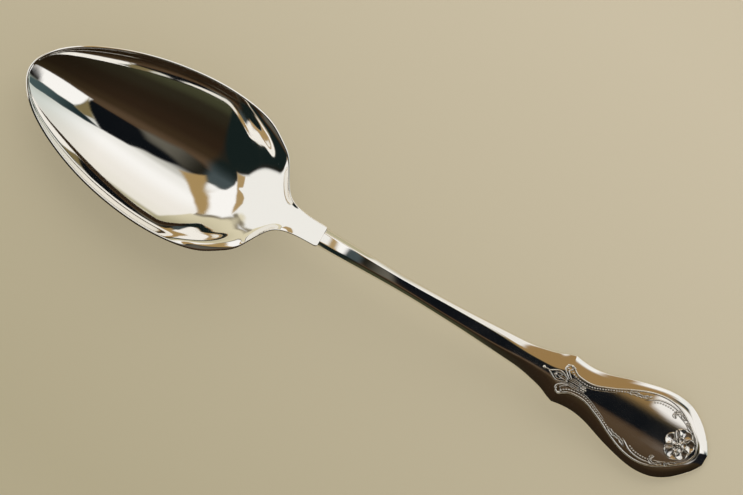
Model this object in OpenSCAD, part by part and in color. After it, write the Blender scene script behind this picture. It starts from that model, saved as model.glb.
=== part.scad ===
// Serving spoon: a bowl with its neck, soldered to a stem that widens into an ornamental end.
// The bowl's tip points along -X, the spoon lies bowl up, and the table is at Z = 0.

/* [Bowl] */
// Length from the tip to where the neck begins
bowl_len = 90; // [70:1:115]
// Widest width, outside the rim
bowl_w = 51.2; // [40:0.2:64]
// Depth of the hollow below the rim
bowl_depth = 13.2; // [9:0.1:17]
// Thickness of the sheet at the bottom of the bowl
bowl_wall = 1.4; // [1:0.1:2]
// Width of the rim's edge, seen from above
rim_land = 0.9; // [0.6:0.1:1.4]
// Height of the rim's edge, where it rolls over to the back
rim_edge = 0.5; // [0.3:0.1:0.8]
// Height of the rim above the table at the tip
tip_h = 13.4; // [11:0.1:17]

/* [Neck] */
// Length from the end of the bowl to the step at the stem
neck_len = 13.8; // [10:0.1:18]
// Width where the neck leaves the bowl
root_w = 11.7; // [9:0.1:15]
// How far each rounded ear stands out past the stem
ear = 0.55; // [0.3:0.05:1]
// Length over which each ear rounds off to the step
ear_round = 1.2; // [0.8:0.1:1.8]
// Thickness of the flat-topped neck
neck_t = 1.9; // [1.4:0.1:2.4]
// Height of the top where the neck leaves the bowl
root_h = 15.4; // [13:0.1:18]

/* [Stem] */
// Length from the step to the two sharp corners before the end
stem_len = 85.9; // [65:0.1:110]
// Width at the step
stem_front_w = 6.4; // [5:0.1:8]
// Width at its slimmest
stem_w = 5.4; // [4.4:0.1:7]
// Thickness of the stem
stem_t = 3.6; // [3:0.1:4.6]
// Height of the plain side below the bevel
stem_side = 2.7; // [2:0.1:2.9]
// Width of the flat top between the bevels
facet_w = 2.8; // [2:0.1:3.6]
// Height of the top at the step
step_h = 19.95; // [17:0.05:21]
// Height of the top where the handle's arch is highest
arch_h = 23.6; // [21:0.1:27]

/* [Handle end] */
// Length from the sharp corners to the end of the handle
end_len = 50.3; // [40:0.1:64]
// Width at the sharp corners
corner_w = 16.8; // [13:0.1:20]
// Width of the waist behind the corners
waist_w = 15.6; // [12:0.1:18]
// Widest width of the end
end_w = 27.4; // [22:0.1:34]
// Thickness in the middle of the end
end_t = 2.5; // [2:0.1:3.2]
// Thickness of the rounded edge all round
end_edge = 0.7; // [0.5:0.1:1]
// How far the panel inside the thread is domed
panel_dome = 0.25; // [0.1:0.05:0.5]
// Height of the top at the very end
end_h = 1.9; // [1.6:0.1:3]
// Height of the raised thread that frames the panel
thread_h = 0.25; // [0.15:0.05:0.4]
// Width of that thread
thread_w = 0.9; // [0.6:0.1:1.3]

/* [Joint] */
// Length of the tongue under the neck
tongue_len = 20; // [14:0.2:26]
// Thickness of the tongue at the heel of the bowl
heel_t = 0.6; // [0.4:0.1:0.9]
// Thickness of the solder film
solder_t = 0.12; // [0.08:0.01:0.2]

/* [Rest faces] */
// How deep the bottom of the bowl is worn flat
rest_cut = 0.1; // [0.06:0.01:0.25]

/* [Hidden] */

// Places along the spoon, measured from the tip of the bowl
step_at = bowl_len + neck_len;
stem_at = step_at + solder_t;
corner_at = step_at + stem_len;
spoon_len = corner_at + end_len;
lap_at = step_at - tongue_len;
neck_end_w = stem_front_w + 2 * ear;
rim_h = bowl_wall + bowl_depth - rest_cut;
handle_len = stem_len + end_len;
tongue_t = stem_t - neck_t - solder_t;

// Rings along each stretch, and points across each face
bowl_rings = 30;
lap_rings = 8;
ear_rings = 4;
stem_rings = 26;
end_rings = 32;
bowl_across = 20;

// Radius of the bowl's cross section over its half width
section_radius_share = 1.227;

// Half width of the bowl over its widest, against the share of its length
bowl_outline_shares = [
    [0, 0], [0.02, 0.212], [0.077, 0.43], [0.214, 0.707], [0.35, 0.873], [0.487, 0.968], [0.62, 1],
    [0.76, 0.947], [0.829, 0.863], [0.88, 0.752], [0.93, 0.59], [0.966, 0.375]
];
// Half width of the neck between its root (1) and its end (0), against the share of its length
neck_outline_shares = [[0, 1], [0.1, 0.64], [0.25, 0.33], [0.41, 0.15], [0.6, 0.04], [1, 0]];
// Depth of the hollow over its deepest, against the share of the bowl's length
depth_shares = [
    [0, 0], [0.111, 0.46], [0.222, 0.75], [0.333, 0.91], [0.45, 0.99], [0.5, 1], [0.6, 1], [0.667, 0.975],
    [0.722, 0.936], [0.778, 0.88], [0.833, 0.81], [0.867, 0.749], [0.9, 0.627], [0.933, 0.44],
    [0.967, 0.248], [1, 0.105]
];
// The same along the neck, where the hollow runs out
neck_depth_shares = [[0.25, 0.035], [1, 0]];
// Height of the rim between its middle (0) and the neck's root (1)
rim_rise_shares = [[0.5, 0], [0.8, 0.25], [1, 1]];
// Height of the handle's top between the step (0) and the arch (1)
arch_rise_shares = [[0.06, 0.58], [0.119, 0.915]];
// Height of the handle's top between its end (0) and the arch (1)
arch_fall_shares = [
    [0.17, 1], [0.222, 0.992], [0.281, 0.928], [0.382, 0.8], [0.504, 0.642], [0.645, 0.459],
    [0.828, 0.223], [1, 0]
];
// Half width of the stem between its slimmest (0) and the corners (1)
stem_outline_shares = [
    [0.143, 0.05], [0.317, 0], [0.41, 0.01], [0.5, 0.05], [0.59, 0.1], [0.674, 0.17], [0.765, 0.25],
    [0.857, 0.37], [0.908, 0.53], [0.946, 0.69], [0.98, 0.9], [1, 1]
];
// Half width of the end over its widest, behind the waist
end_outline_shares = [
    [0.244, 0.64], [0.366, 0.786], [0.458, 0.882], [0.56, 0.968], [0.645, 1], [0.7, 0.989],
    [0.764, 0.94], [0.825, 0.832], [0.886, 0.664], [0.921, 0.551], [0.95, 0.434], [0.976, 0.296],
    [0.99, 0.204], [1, 0.128]
];
waist_share = 0.12;
// Half width between the corners (1) and the waist (0), along that stretch
waist_outline_shares = [[0, 1], [0.5, 0.25], [1, 0]];
// Distance of the thread from the middle over the half width of the end
thread_place_shares = [
    [0, 0.3], [0.043, 0.42], [0.1, 0.36], [0.183, 0.37], [0.244, 0.456], [0.366, 0.62], [0.458, 0.744],
    [0.58, 0.8], [0.655, 0.78], [0.764, 0.7], [0.855, 0.52], [0.916, 0.32], [0.96, 0.12], [1, 0.08]
];
// How much of the thread's height shows, along the end
thread_show_shares = [[0, 0], [0.05, 1], [0.9, 1], [0.96, 0]];
// Round roll (1) or straight bevel (0) of the border, along the handle
roll_shares = [[0, 0], [0.5, 0.1], [0.64, 0.7], [1, 0.8]];
// Half width of the tongue over that of the stem's front
tongue_outline_shares = [[0, 0.3], [0.06, 0.56], [0.2, 0.74], [0.5, 0.84], [1, 0.88]];
// Rounding of the back's corners over the height of the side
back_round_share = 0.45;
// Parts of the bowl's length between which its wall is full
wall_shares = [0.3, 0.6];
// Part of the bowl's length over which the rim leans in toward the tip
lean_share = 0.5;
// Part of the tongue's length, ahead of it, over which the bowl's back turns flat
flat_share = 0.5;
// Parts of the stem's length where it starts to thin, and where the dome starts
thin_from_share = 0.6;
dome_from_share = 0.8;
// Foot of the thread at most, over the room beside it
foot_share = 0.25;
// How the rings crowd toward the tip and toward the corners
ring_sweep = 120;
crowd_share = 1.4;

// A smooth curve through a table of [place, value]
function stretch(table, x, i = 0) =
    i >= len(table) - 2 || x < table[i + 1][0] ? i : stretch(table, x, i + 1);
function rise(table, i) = (table[i + 1][1] - table[i][1]) / (table[i + 1][0] - table[i][0]);
function gap(table, i) = table[i + 1][0] - table[i][0];
function slope(table, i) =
    i == 0 ? rise(table, 0)
    : i == len(table) - 1 ? rise(table, i - 1)
    : (rise(table, i - 1) * gap(table, i) + rise(table, i) * gap(table, i - 1))
        / (gap(table, i - 1) + gap(table, i));
function along(table, x) =
    let(
        i = stretch(table, x),
        s = max(0, min(1, (x - table[i][0]) / gap(table, i))),
        bend = gap(table, i) * (s - s * s)
    )
    table[i][1] + (table[i + 1][1] - table[i][1]) * s * s * (3 - 2 * s)
        + bend * (slope(table, i) * (1 - s) - slope(table, i + 1) * s);
function mix(low, high, share) = low + (high - low) * share;
function ease(x) = let(s = max(0, min(1, x))) s * s * (3 - 2 * s);
function share_of(x, from, length) = (x - from) / length;

// Outline of the bowl and neck, against the square root of the share of the bowl's length,
// because a round tip widens as a square root
bowl_plan = concat(
    [for (p = bowl_outline_shares) [sqrt(p[0]), p[1] * bowl_w / 2]],
    [for (p = neck_outline_shares) [sqrt(1 + p[0] * neck_len / bowl_len), mix(neck_end_w, root_w, p[1]) / 2]]
);
function ear_cut(x) =
    let(s = max(0, min(1, share_of(x, step_at - ear_round, ear_round)))) ear * (1 - sqrt(1 - s * s));
function bowl_half(x) = x <= 0 ? 0 : along(bowl_plan, sqrt(x / bowl_len)) - ear_cut(x);

// Height of the rim and of the neck's and handle's top, from the tip to the end
side_line = concat(
    [[0, tip_h]],
    [for (p = rim_rise_shares) [p[0] * bowl_len, mix(rim_h, root_h, p[1])]],
    [[step_at, step_h]],
    [for (p = arch_rise_shares) [step_at + p[0] * handle_len, mix(step_h, arch_h, p[1])]],
    [for (p = arch_fall_shares) [step_at + p[0] * handle_len, mix(end_h, arch_h, p[1])]]
);
function top_line(x) = along(side_line, x);

// The bowl's hollow and its back
depth_table = concat(
    [for (p = depth_shares) [p[0] * bowl_len, p[1] * bowl_depth]],
    [for (p = neck_depth_shares) [bowl_len + p[0] * neck_len, p[1] * bowl_depth]]
);
function hollow(x) = x < step_at ? max(0, along(depth_table, x)) : 0;
function arc_share(t) =
    let(r = section_radius_share) (r - sqrt(r * r - t * t)) / (r - sqrt(r * r - 1));
wall_table = concat([[0, rim_land]], [for (s = wall_shares) [s * bowl_len, bowl_wall]], [[lap_at, neck_t]]);
function wall(x) = x < lap_at ? along(wall_table, x) : neck_t;
function floor_line(x) = top_line(x) - hollow(x);
function seat_line(x) = floor_line(x) - neck_t;

// Half width of the tongue, and of the flat strip under the neck that it lies against
tongue_plan = [
    for (p = tongue_outline_shares) [lap_at + p[0] * tongue_len, p[1] * stem_front_w / 2]
];
function tongue_half(x) = along(tongue_plan, x);
function flat_half(x) =
    stem_front_w / 2 * ease(share_of(x, lap_at - flat_share * tongue_len, flat_share * tongue_len));

// Places of the rings: close together where the outline turns fast
bowl_places = [
    for (i = [1:bowl_rings]) lap_at * (1 - cos(ring_sweep * i / bowl_rings)) / (1 - cos(ring_sweep))
];
lap_places = concat(
    [for (i = [0:lap_rings]) mix(lap_at, step_at - ear_round, i / lap_rings)],
    [for (i = [1:ear_rings]) step_at - ear_round * (1 - sin(90 * i / ear_rings))]
);
last_lap = lap_rings + ear_rings;
stem_places = [
    for (i = [0:stem_rings - 1]) mix(stem_at, corner_at, 1 - pow(1 - i / stem_rings, crowd_share))
];
end_places = [for (i = [0:end_rings - 1]) corner_at + end_len * sin(90 * i / end_rings)];

// A closed skin over rings of equal length, ended by a nose or by a flat end at either side.
// Each ring has its upper points, then as many lower ones, and a nose is one upper and one lower point.
module skin(rings, nose_first = [], nose_last = []) {
    m = len(rings[0]);
    n = len(rings);
    uppers = m / 2;
    places = concat([for (r = rings) each r], nose_first, nose_last);
    first = n * m;
    last = first + len(nose_first);
    end_ring = (n - 1) * m;
    sides = [
        for (i = [0:n - 2], j = [0:m - 1])
            let(a = i * m + j, b = i * m + (j + 1) % m)
            each [[a, b, a + m], [b, b + m, a + m]]
    ];
    start = len(nose_first) == 0
        ? [for (j = [0:uppers - 2]) each [[m - 1 - j, j + 1, j], [m - 1 - j, m - 2 - j, j + 1]]]
        : concat(
            [for (j = [0:m - 1]) [j < uppers - 1 || j == m - 1 ? first : first + 1, (j + 1) % m, j]],
            [[first, first + 1, uppers - 1], [first + 1, first, m - 1]]
        );
    stop = len(nose_last) == 0
        ? [for (j = [0:uppers - 2])
            each [
                [end_ring + j, end_ring + j + 1, end_ring + m - 1 - j],
                [end_ring + j + 1, end_ring + m - 2 - j, end_ring + m - 1 - j]
            ]]
        : concat(
            [for (j = [0:m - 1])
                [end_ring + j, end_ring + (j + 1) % m, j < uppers - 1 || j == m - 1 ? last : last + 1]],
            [[end_ring + uppers - 1, last + 1, last], [end_ring + m - 1, last, last + 1]]
        );
    polyhedron(points = places, faces = concat(sides, start, stop));
}

// One ring of the bowl: the hollow's face, then the back
function bowl_ring(x) =
    let(
        half = bowl_half(x),
        inner = half * (1 - 2 * rim_land / bowl_w),
        inner_x = x + rim_land * (1 - ease(share_of(x, 0, lean_share * bowl_len))),
        edge_z = top_line(x) - rim_edge,
        back_z = floor_line(x) - wall(x),
        flat = flat_half(x)
    )
    concat(
        [for (j = [-bowl_across:bowl_across])
            let(t = sin(90 * j / bowl_across))
            [inner_x, t * inner, top_line(x) - hollow(x) * (1 - arc_share(abs(t)))]],
        [for (j = [bowl_across:-1:-bowl_across])
            let(
                t = sin(90 * j / bowl_across),
                y = t * half,
                out = flat >= half ? 0 : max(0, abs(y) - flat) / (half - flat)
            )
            [x, y, max(0, mix(back_z, edge_z, arc_share(out)))]]
    );

module bowl() {
    rings = [for (x = concat(bowl_places, [for (i = [1:last_lap]) lap_places[i]])) bowl_ring(x)];
    color("silver")
        centred()
            skin(rings, nose_first = [[rim_land, 0, tip_h], [0, 0, tip_h - rim_edge]]);
}

// Half width, thickness, side height and middle zone of the stem and the end
stem_plan = concat(
    [[stem_at, stem_front_w / 2]],
    [for (p = stem_outline_shares) [step_at + p[0] * stem_len, mix(stem_w, corner_w, p[1]) / 2]]
);
end_plan = concat(
    [for (p = waist_outline_shares)
        [corner_at + p[0] * waist_share * end_len, mix(waist_w, corner_w, p[1]) / 2]],
    [for (p = end_outline_shares) [corner_at + p[0] * end_len, p[1] * end_w / 2]]
);
function handle_half(x) = x <= corner_at ? along(stem_plan, x) : along(end_plan, x);
thin_from = mix(stem_at, corner_at, thin_from_share);
thickness_plan = [[stem_at, stem_t], [thin_from, stem_t], [corner_at + waist_share * end_len, end_t]];
function thickness(x) = x > corner_at + waist_share * end_len ? end_t : along(thickness_plan, x);
side_plan = [[stem_at, stem_side], [thin_from, stem_side], [corner_at, end_edge]];
function side_height(x) = x > corner_at ? end_edge : along(side_plan, x);
thread_plan = [for (p = thread_place_shares) [corner_at + p[0] * end_len, p[1]]];
facet_plan = [
    [stem_at, facet_w / stem_w], [thin_from, facet_w / stem_w], [corner_at, thread_place_shares[0][1]]
];
function zone_share(x) = x > corner_at ? along(thread_plan, x) : along(facet_plan, x);
function handle_top(x) = top_line(x);
function handle_back(x) = max(0, handle_top(x) - thickness(x));
function thread_show(x) =
    x < corner_at ? 0 : along(thread_show_shares, share_of(x, corner_at, end_len)) * thread_h;
function dome(x) =
    let(from = mix(stem_at, corner_at, dome_from_share))
    panel_dome * ease(share_of(x, from, corner_at + waist_share * end_len - from));

// Height of the border at a share of the way out from the thread to the edge
function roll(x, out) =
    let(round_part = along(roll_shares, share_of(x, stem_at, handle_len)))
    mix(out, 1 - sqrt(max(0, 1 - out * out)), round_part);

// The upper points of one ring, over half the width, from the middle out
inner_shares = [0, 0.35, 0.7];
roll_places_shares = [0.2, 0.4, 0.6, 0.78, 0.91, 1];
function half_section(x) =
    let(
        half = handle_half(x),
        thread = zone_share(x) * half,
        foot = min(thread_w / 2, thread * foot_share, (half - thread) * foot_share),
        show = thread_show(x),
        high = handle_top(x),
        edge_z = handle_back(x) + side_height(x)
    )
    concat(
        [for (s = inner_shares) [s * (thread - foot), high - dome(x) * s * s]],
        [[thread - foot, high - dome(x)], [thread, high - dome(x) + show]],
        [for (s = concat([0], roll_places_shares))
            [mix(thread + foot, half, s), mix(high - dome(x), edge_z, roll(x, s))]]
    );
half_points = len(inner_shares) + 3 + len(roll_places_shares);
back_steps = half_points - 1;

function back_points(x, half, low, height) =
    [for (j = [back_steps:-1:-back_steps])
        let(t = sin(90 * j / back_steps))
        [x, t * half, max(0, low + back_round_share * height * pow(abs(t), 4))]];

function handle_ring(x) =
    let(side = half_section(x))
    concat(
        [for (j = [half_points - 1:-1:1]) [x, -side[j][0], side[j][1]]],
        [for (p = side) [x, p[0], p[1]]],
        back_points(x, handle_half(x), handle_top(x) - thickness(x), side_height(x))
    );

// The tongue lies one solder film below the neck and ends at the step
function tongue_ring(x, back_x) =
    let(
        half = tongue_half(x),
        high = seat_line(x) - solder_t,
        height = mix(heel_t, tongue_t, ease(share_of(x, lap_at, tongue_len)))
    )
    concat(
        [for (j = [-half_points + 1:half_points - 1]) [x, half * j / (half_points - 1), high]],
        back_points(back_x, half, high - height, height)
    );

module handle() {
    tongue = concat(
        [for (x = lap_places) tongue_ring(x, x)],
        [tongue_ring(stem_at, mix(step_at, stem_at, 0.5))]
    );
    rest = [for (x = concat(stem_places, end_places)) handle_ring(x)];
    color("silver")
        centred()
            skin(concat(tongue, rest), nose_last = [[spoon_len, 0, end_edge], [spoon_len, 0, 0]]);
}

// The film follows the neck's underside and turns up between the step and the stem
module solder_seam() {
    profile = concat(
        [for (x = lap_places) [x, seat_line(x)]],
        [[step_at, top_line(step_at)], [stem_at, top_line(stem_at)], [stem_at, seat_line(stem_at) - solder_t]],
        [for (i = [last_lap:-1:0]) [lap_places[i], seat_line(lap_places[i]) - solder_t]]
    );
    half_plan = concat(
        [for (x = lap_places) [x, tongue_half(x)]],
        [[step_at, facet_w / 2], [stem_at, facet_w / 2]]
    );
    back_to_front = [for (i = [len(half_plan) - 1:-1:0]) [half_plan[i][0], -half_plan[i][1]]];
    color("gainsboro")
        centred()
            intersection() {
                translate([0, stem_front_w, 0])
                    rotate([90, 0, 0])
                        linear_extrude(2 * stem_front_w) polygon(profile);
                linear_extrude(arch_h) polygon(concat(half_plan, back_to_front));
            }
}

module centred() {
    translate([-spoon_len / 2, 0, 0]) children();
}

bowl();
handle();
solder_seam();
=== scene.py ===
import math

import bpy
import numpy as np
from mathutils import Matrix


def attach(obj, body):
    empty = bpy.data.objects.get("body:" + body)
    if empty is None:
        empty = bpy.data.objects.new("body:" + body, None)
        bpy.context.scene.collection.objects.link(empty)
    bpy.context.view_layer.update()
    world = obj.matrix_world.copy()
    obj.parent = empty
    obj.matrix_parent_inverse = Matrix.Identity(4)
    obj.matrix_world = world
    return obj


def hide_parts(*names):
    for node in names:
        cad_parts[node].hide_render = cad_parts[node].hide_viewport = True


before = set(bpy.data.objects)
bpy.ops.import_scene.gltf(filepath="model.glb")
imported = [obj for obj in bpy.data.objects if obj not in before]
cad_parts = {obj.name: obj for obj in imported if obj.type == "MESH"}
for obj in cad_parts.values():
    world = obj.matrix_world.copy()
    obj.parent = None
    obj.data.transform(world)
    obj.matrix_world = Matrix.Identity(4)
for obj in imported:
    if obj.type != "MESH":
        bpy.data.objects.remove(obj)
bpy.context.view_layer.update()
print("frame loaded")

spoon = {
    "tip": -120.0,  # where the bowl's tip lies in the frame
    "length": 240.0,
    "step": 103.8,  # the neck ends here
    "stemStart": 103.92,  # a hair's breadth behind the neck
    "corner": 189.7,  # the two sharp corners before the end
}


# A smooth curve through a short table of (place, value)
def curveThrough(table):
    xs, ys = np.array(table, float).T
    gaps = np.diff(xs)
    rises = np.diff(ys) / gaps
    count = len(xs)
    matrix = np.eye(count)
    right = np.zeros(count)
    for i in range(1, count - 1):
        matrix[i, i - 1:i + 2] = gaps[i - 1], 2 * (gaps[i - 1] + gaps[i]), gaps[i]
        right[i] = 6 * (rises[i] - rises[i - 1])
    bends = np.linalg.solve(matrix, right)

    def value(x):
        x = np.clip(x, xs[0], xs[-1])
        i = np.clip(np.searchsorted(xs, x) - 1, 0, count - 2)
        a = (xs[i + 1] - x) / gaps[i]
        b = 1 - a
        bend = ((a ** 3 - a) * bends[i] + (b ** 3 - b) * bends[i + 1]) * gaps[i] ** 2 / 6
        return a * ys[i] + b * ys[i + 1] + bend

    return value


def mix(low, high, share):
    return low + (high - low) * share


def ease(x):
    s = np.clip(x, 0, 1)
    return s * s * (3 - 2 * s)


# Points of a bent line that leaves start along one direction and reaches end along another
def rollOver(start, leave, end, reach, steps):
    t = np.linspace(0, 1, steps + 1)[1:, None, None]
    one = start + leave
    two = end - reach
    return (1 - t) ** 3 * start + 3 * (1 - t) ** 2 * t * one + 3 * (1 - t) * t ** 2 * two + t ** 3 * end


def unit(ways):
    return ways / np.linalg.norm(ways, axis=-1, keepdims=True)


def toMetres(points):
    moved = np.array(points, float)
    moved[..., 0] += spoon["tip"]
    return moved / 1000


def addObject(name, data):
    thing = bpy.data.objects.new(name, data)
    bpy.context.collection.objects.link(thing)
    return thing


# One object from points and faces, welded where rings close, smooth but for edges sharper than the angle
def makePiece(name, points, faces, sharpAngle=38):
    mesh = bpy.data.meshes.new(name)
    mesh.from_pydata(toMetres(points).tolist(), [], faces)
    mesh.update()
    piece = addObject(name, mesh)
    bpy.context.view_layer.objects.active = piece
    for other in bpy.context.selected_objects:
        other.select_set(False)
    piece.select_set(True)
    bpy.ops.object.mode_set(mode="EDIT")
    bpy.ops.mesh.select_all(action="SELECT")
    bpy.ops.mesh.remove_doubles(threshold=1e-7)
    bpy.ops.mesh.dissolve_degenerate(threshold=1e-8)
    bpy.ops.mesh.select_all(action="SELECT")
    bpy.ops.mesh.normals_make_consistent(inside=False)
    bpy.ops.object.mode_set(mode="OBJECT")
    mesh.shade_smooth()
    mesh.set_sharp_from_angle(angle=math.radians(sharpAngle))
    return piece


# Faces of a skin over rings of equal length, with flat ends where they are asked for
def ringFaces(rings, closeFirst, closeLast):
    count, size = rings.shape[:2]
    i, j = np.meshgrid(np.arange(count - 1), np.arange(size), indexing="ij")
    k = (j + 1) % size
    quads = np.stack([i * size + j, i * size + k, (i + 1) * size + k, (i + 1) * size + j], -1)
    faces = quads.reshape(-1, 4).tolist()
    half = size // 2
    for wanted, row in ((closeFirst, 0), (closeLast, count - 1)):
        if wanted:
            base = row * size
            for m in range(half):
                near, far = m, (size - m) % size
                nextNear, nextFar = m + 1, size - m - 1
                corners = [base + near, base + nextNear, base + nextFar, base + far]
                faces.append(list(dict.fromkeys(corners)))
    return faces


# A skin from its half at +Y: rings of points from the middle of the top round to the middle of the back
def makeMirrored(name, side, closeFirst):
    rings = np.concatenate([side, side[:, -2:0:-1] * (1, -1, 1)], 1)
    return makePiece(name, rings.reshape(-1, 3), ringFaces(rings, closeFirst, True))


# Height of the top from the tip to the handle's end, seen from the side
sideLine = curveThrough([
    (0, 13.4), (45, 14.5), (72, 14.7), (84, 14.95), (90, 15.4), (93.5, 16.28), (97, 17.5), (103.8, 19.95),
    (112, 22.07), (120, 23.29), (126.9, 23.59), (134.1, 23.28), (142.1, 22.03), (155.9, 19.26),
    (172.4, 15.83), (191.7, 11.85), (216.6, 6.73), (240, 1.9),
])

bowl = {
    "length": 90.0,
    "width": 51.2,
    "depth": 13.2,
    "wall": 1.4,
    "tipWall": 0.9,
    "neckThick": 1.9,
    "neckEndWidth": 7.5,
    "rootWidth": 11.7,
    "ear": 0.55,  # how far each ear stands out past the stem
    "earRound": 1.2,
    "neckFrom": 72.0,  # from here, and over this length, the rim and the hollow turn into the flat neck
    "neckOver": 22.0,
    "rimWidth": 0.9,
    "neckRimWidth": 0.5,
    "rimDrop": 0.2,  # the hollow starts this far below the crest of the rim
    "rimEdge": 0.55,  # and its outer edge lies this far below it
    "sectionRadius": 1.227,  # radius of the hollow's cross section over its half width
    "steepStart": 0.9,  # the share of the half width beyond which the hollow is steeper than that
    "steepEase": 0.05,
    "steepMore": 1.0,
    "closeStart": 57.0,  # from here, and over this length, the hollow closes toward the neck
    "closeOver": 14.0,
    "closeEnd": 130.0,  # beyond the neck, so that a level line runs through any point
    "closePower": 1.55,  # 2 would make the level lines elliptic, and 1 straight
    "tipOver": 40.0,  # over this length the depth is counted from the rim's inner edge
    "leastSheet": 0.8,
    "stations": 230,
    "across": 74,
    "rollSteps": 9,
    "spineFrom": 9.0,  # the rows fan out round the tip from here, and over this length
    "spineOver": 12.0,
    "lapStart": 83.8,
    "lapEase": 10.0,  # the flat seat of the tongue grows over this length
    "seatEase": 2.0,
    "tongueFrontHalf": 3.2,
}

bowlOutline = curveThrough(
    [(math.sqrt(place), share * bowl["width"] / 2) for place, share in (
        (0, 0), (0.02, 0.212), (0.077, 0.43), (0.214, 0.707), (0.35, 0.873), (0.487, 0.968),
        (0.62, 1), (0.76, 0.947), (0.829, 0.863), (0.88, 0.752), (0.93, 0.59), (0.966, 0.375))]
    + [(math.sqrt(1 + place * (spoon["step"] / bowl["length"] - 1)),
        mix(bowl["neckEndWidth"], bowl["rootWidth"], share) / 2) for place, share in (
        (0, 1), (0.1, 0.64), (0.25, 0.33), (0.41, 0.15), (0.6, 0.04), (1, 0))])

bowlDepth = curveThrough(
    [(place * bowl["length"], share * bowl["depth"]) for place, share in (
        (0, 0), (0.111, 0.46), (0.222, 0.75), (0.333, 0.91), (0.45, 0.99), (0.5, 1), (0.6, 1), (0.667, 0.975),
        (0.722, 0.936), (0.778, 0.88), (0.833, 0.81), (0.867, 0.72), (0.9, 0.58), (0.933, 0.425),
        (0.967, 0.28), (1, 0.16), (1.038, 0.06), (1.078, 0.01))] + [(spoon["step"], 0)])

bowlWall = curveThrough([(0, bowl["tipWall"]), (27, bowl["wall"]), (54, bowl["wall"]),
                         (bowl["lapStart"], bowl["neckThick"]), (spoon["step"], bowl["neckThick"])])


def bowlHalf(p):
    past = np.clip((p - spoon["step"] + bowl["earRound"]) / bowl["earRound"], 0, 1)
    return bowlOutline(np.sqrt(p / bowl["length"])) - bowl["ear"] * (1 - np.sqrt(1 - past ** 2))


# Share of the depth that the circular cross section has risen at a share of the half width
def arcShare(t):
    r = bowl["sectionRadius"]
    t = np.clip(np.abs(t), 0, 1)
    return (r - np.sqrt(r * r - t * t)) / (r - math.sqrt(r * r - 1))


# The hollow's own section, which is steeper just inside the rim
def hollowShare(t):
    t = np.clip(np.abs(t), 0, 1)
    start, run, more = bowl["steepStart"], bowl["steepEase"], bowl["steepMore"]
    x = np.clip((t - start) / run, 0, None)
    extra = np.where(x < 1, x ** 3 - x ** 4 / 2, x - 0.5) * run * more
    whole = (1 - start - 0.5 * run) * more
    return arcShare(t) * (1 - whole) + extra


# Toward the neck the hollow's level lines are round curves that cross the axis.
# Each runs from the section at closeStart, at the height it has there, to where the axis has that depth.
def levelDepth(p, y, halfAtStart):
    start = bowl["closeStart"]
    t = np.linspace(0, 1, 800)
    ends = np.linspace(start, bowl["closeEnd"], 1500)
    depths = np.where(ends < spoon["step"], np.maximum(bowlDepth(np.minimum(ends, spoon["step"])), 0), 0)
    depths = np.minimum.accumulate(depths)
    sides = halfAtStart * np.interp(1 - depths / depths[0], hollowShare(t), t)
    low = np.broadcast_to(np.maximum(p, start) + 1e-6, y.shape).copy()
    high = np.full(y.shape, bowl["closeEnd"])
    for halving in range(40):
        middle = (low + high) / 2
        along = (np.maximum(p - start, 0) / (middle - start)) ** bowl["closePower"]
        aside = (np.abs(y) / np.maximum(np.interp(middle, ends, sides), 1e-6)) ** bowl["closePower"]
        outside = along + aside > 1
        low = np.where(outside, middle, low)
        high = np.where(outside, high, middle)
    return np.interp(high, ends, depths)


# How late the hollow near the neck rises to the rim: the higher the power, the later
rimPower = curveThrough([(50, 10), (60, 12), (70, 15), (80, 15), (86, 9), (90, 4.5), (95, 2), (104, 1.5)])


# 0 in the bowl and 1 along the neck
def neckShare(p):
    return ease((p - bowl["neckFrom"]) / bowl["neckOver"])


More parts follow.
